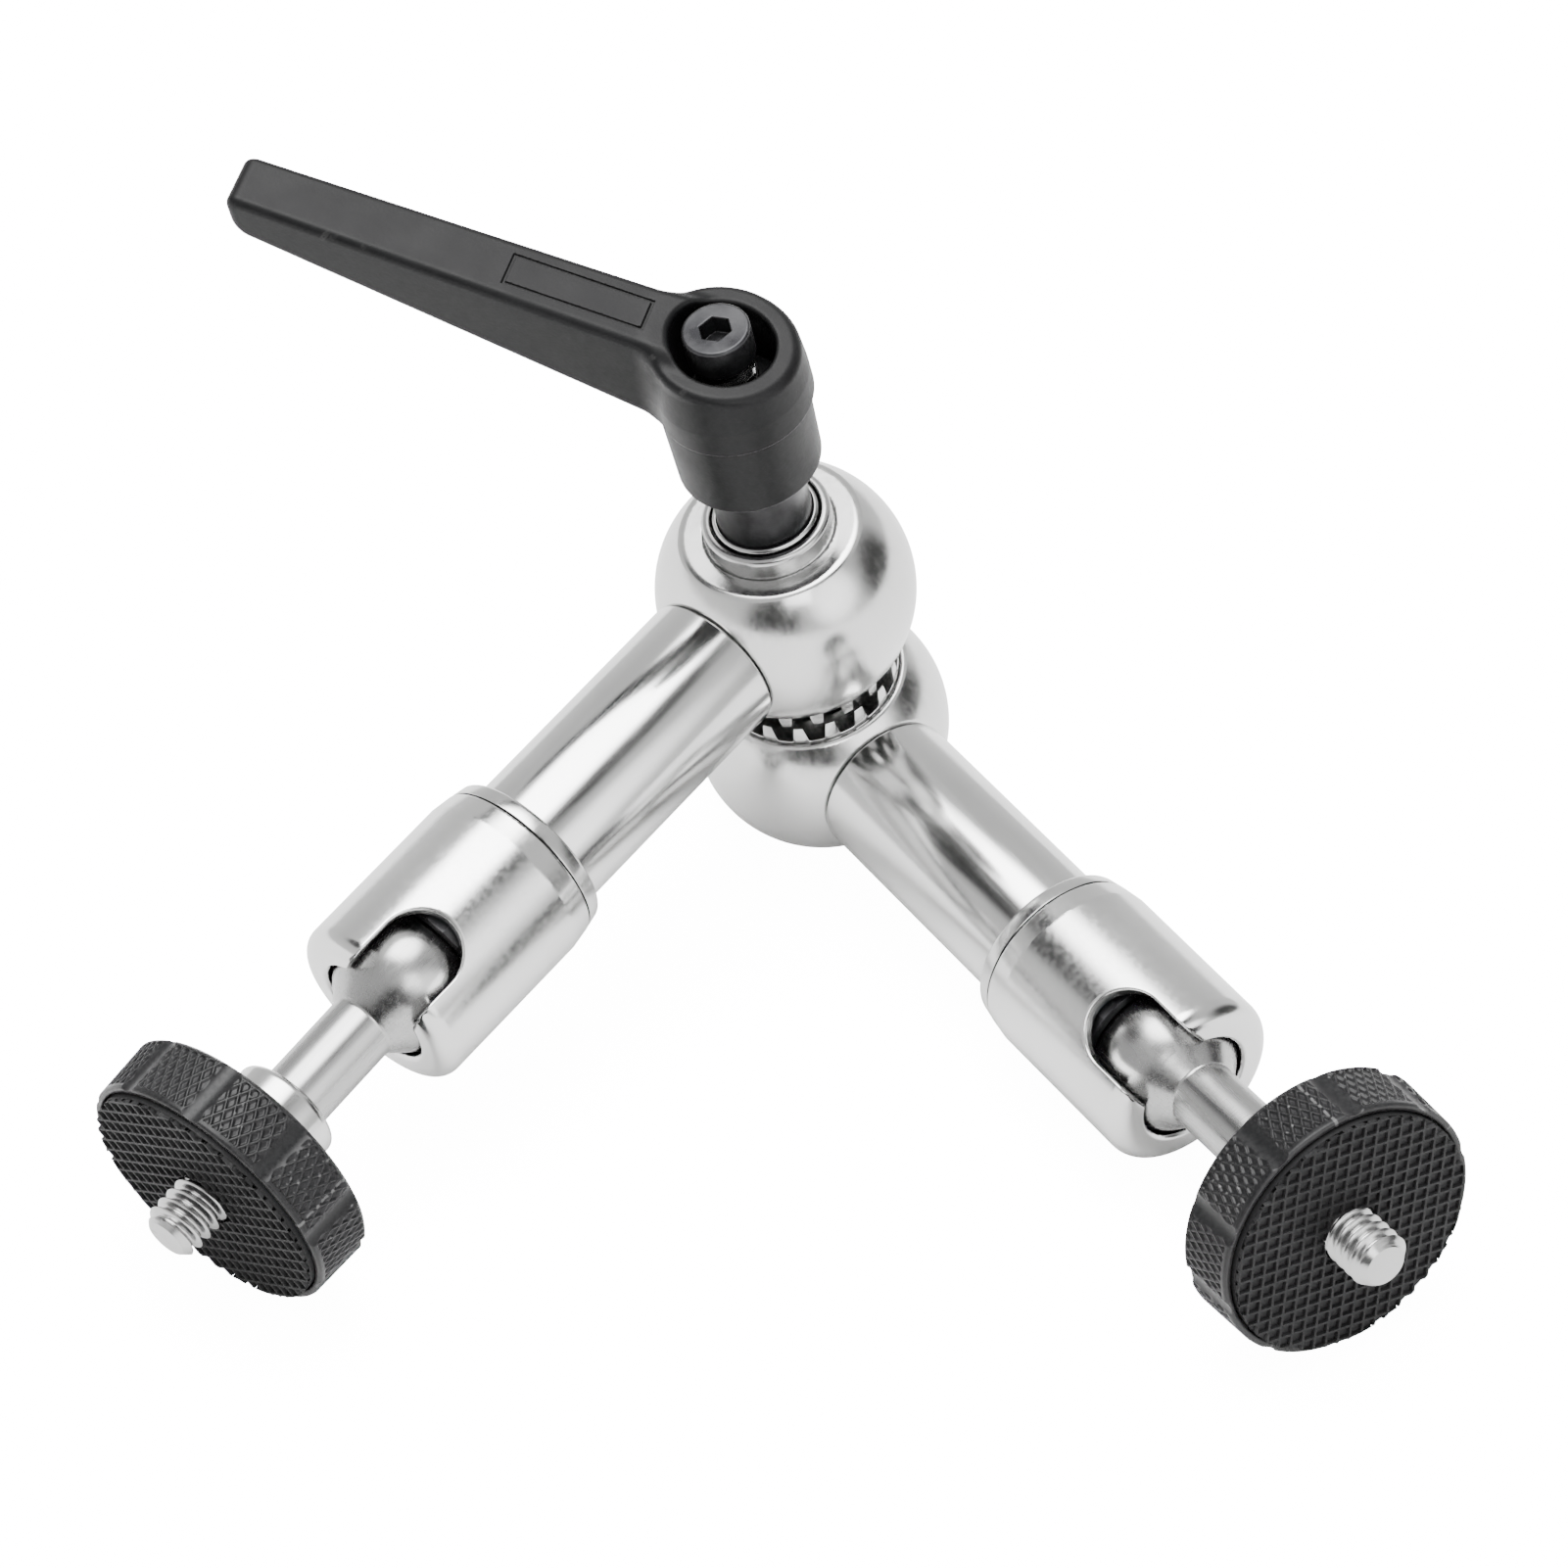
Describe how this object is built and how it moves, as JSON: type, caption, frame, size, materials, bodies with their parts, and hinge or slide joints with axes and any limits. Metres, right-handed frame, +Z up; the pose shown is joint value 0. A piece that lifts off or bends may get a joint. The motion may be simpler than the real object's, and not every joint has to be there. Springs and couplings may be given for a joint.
{
  "type": "articulating friction arm",
  "caption": "Stainless steel articulating arm with one central locking lever, two slotted ball joints, and a threaded stud with a knurled lock disc and rubber pad at each end.",
  "frame": {"origin": "middle of the part's box, at the height of the table it lies on", "axes": "+Z up, away from the table; the two arms open towards -Y, the upper arm to -X and the lower arm to +X"},
  "size_m": [0.1386, 0.0986, 0.0832],
  "materials": {
    "steel": "bright turned and brushed stainless steel",
    "polished": "polished hardened steel",
    "black_oxide": "black oxide steel, semi-gloss",
    "black_casting": "satin black powder-coated zinc casting",
    "anodised": "black anodised aluminium, knurled edge",
    "rubber": "black moulded rubber, matt"
  },
  "bodies": {
    "lower_arm": {"lower_knuckle": "steel", "lower_tooth_ring": "steel", "lower_arm_tube": "steel", "lower_push_rod": "polished", "lower_brake_seat": "black_oxide", "lower_socket_ring": "steel", "lower_socket": "steel", "lower_wedge": "polished", "clamp_bolt": "steel", "wedge_spring": "polished"},
    "upper_arm": {"upper_knuckle": "steel", "upper_tooth_ring": "steel", "upper_arm_tube": "steel", "upper_push_rod": "polished", "upper_brake_seat": "black_oxide", "upper_socket_ring": "steel", "upper_socket": "steel", "stem_guide_ring": "polished", "stem_retaining_ring": "polished"},
    "clamp_stack": {"thrust_washer": "polished", "upper_wedge": "polished"},
    "lever_core": {"lever_stem": "black_oxide", "lever_cap_screw": "black_oxide", "lever_return_spring": "polished"},
    "lever_grip": {"lever_handle": "black_casting"},
    "upper_stud": {"upper_ball_stud": "polished", "upper_camera_screw": "steel"},
    "upper_hub": {"upper_disc_hub": "steel"},
    "upper_disc": {"upper_lock_disc": "anodised", "upper_grip_pad": "rubber"},
    "lower_stud": {"lower_ball_stud": "polished", "lower_camera_screw": "steel"},
    "lower_hub": {"lower_disc_hub": "steel"},
    "lower_disc": {"lower_lock_disc": "anodised", "lower_grip_pad": "rubber"}
  },
  "joints": [
    {"name": "knuckle_turn", "type": "hinge", "parent": "lower_arm", "child": "upper_arm", "pos_m": [-0.00091, 0.03353, 0.02346], "axis": [-0.1747, -0.1573, 0.972], "range_deg": [-220, 34]},
    {"name": "clamp_travel", "type": "slide", "parent": "upper_arm", "child": "clamp_stack", "axis": [-0.1747, -0.1573, 0.972], "range_m": [-0.0000833, 0.0005]},
    {"name": "lever_turn", "type": "hinge", "parent": "clamp_stack", "child": "lever_core", "pos_m": [-0.00091, 0.03353, 0.02346], "axis": [-0.1747, -0.1573, 0.972], "range_deg": [-30.2, 180.2]},
    {"name": "lever_lift", "type": "slide", "parent": "lever_core", "child": "lever_grip", "axis": [-0.1747, -0.1573, 0.972], "range_m": [0, 0.0035], "stiffness_N_per_m": 800, "springref_m": -0.002, "deforming": ["lever_return_spring"]},
    {"name": "upper_ball_tilt", "type": "hinge", "parent": "upper_arm", "child": "upper_stud", "pos_m": [-0.03941, -0.01511, 0.0206], "axis": [-0.7709, 0.4712, 0.4286], "range_deg": [-20.8, 83]},
    {"name": "upper_disc_travel", "type": "slide", "parent": "upper_stud", "child": "upper_hub", "axis": [-0.563, -0.8024, -0.198], "range_m": [0, 0.004]},
    {"name": "upper_disc_turn", "type": "hinge", "parent": "upper_hub", "child": "upper_disc", "pos_m": [-0.03941, -0.01511, 0.0206], "axis": [-0.563, -0.8024, -0.198], "range_deg": [0, 1134.1]},
    {"name": "lower_ball_tilt", "type": "hinge", "parent": "lower_arm", "child": "lower_stud", "pos_m": [0.03892, -0.01251, 0.01124], "axis": [-0.6303, -0.4859, -0.6055], "range_deg": [-27.6, 76]},
    {"name": "lower_disc_travel", "type": "slide", "parent": "lower_stud", "child": "lower_hub", "axis": [0.5523, -0.8217, 0.1406], "range_m": [0, 0.004]},
    {"name": "lower_disc_turn", "type": "hinge", "parent": "lower_hub", "child": "lower_disc", "pos_m": [0.03892, -0.01251, 0.01124], "axis": [0.5523, -0.8217, 0.1406], "range_deg": [0, 1134.1]}
  ],
  "couplings": [
    {"joint": "lever_turn", "follows": "clamp_travel", "rad_per_m": 6283.2},
    {"joint": "upper_disc_turn", "follows": "upper_disc_travel", "rad_per_m": 4947.4},
    {"joint": "lower_disc_turn", "follows": "lower_disc_travel", "rad_per_m": 4947.4}
  ]
}
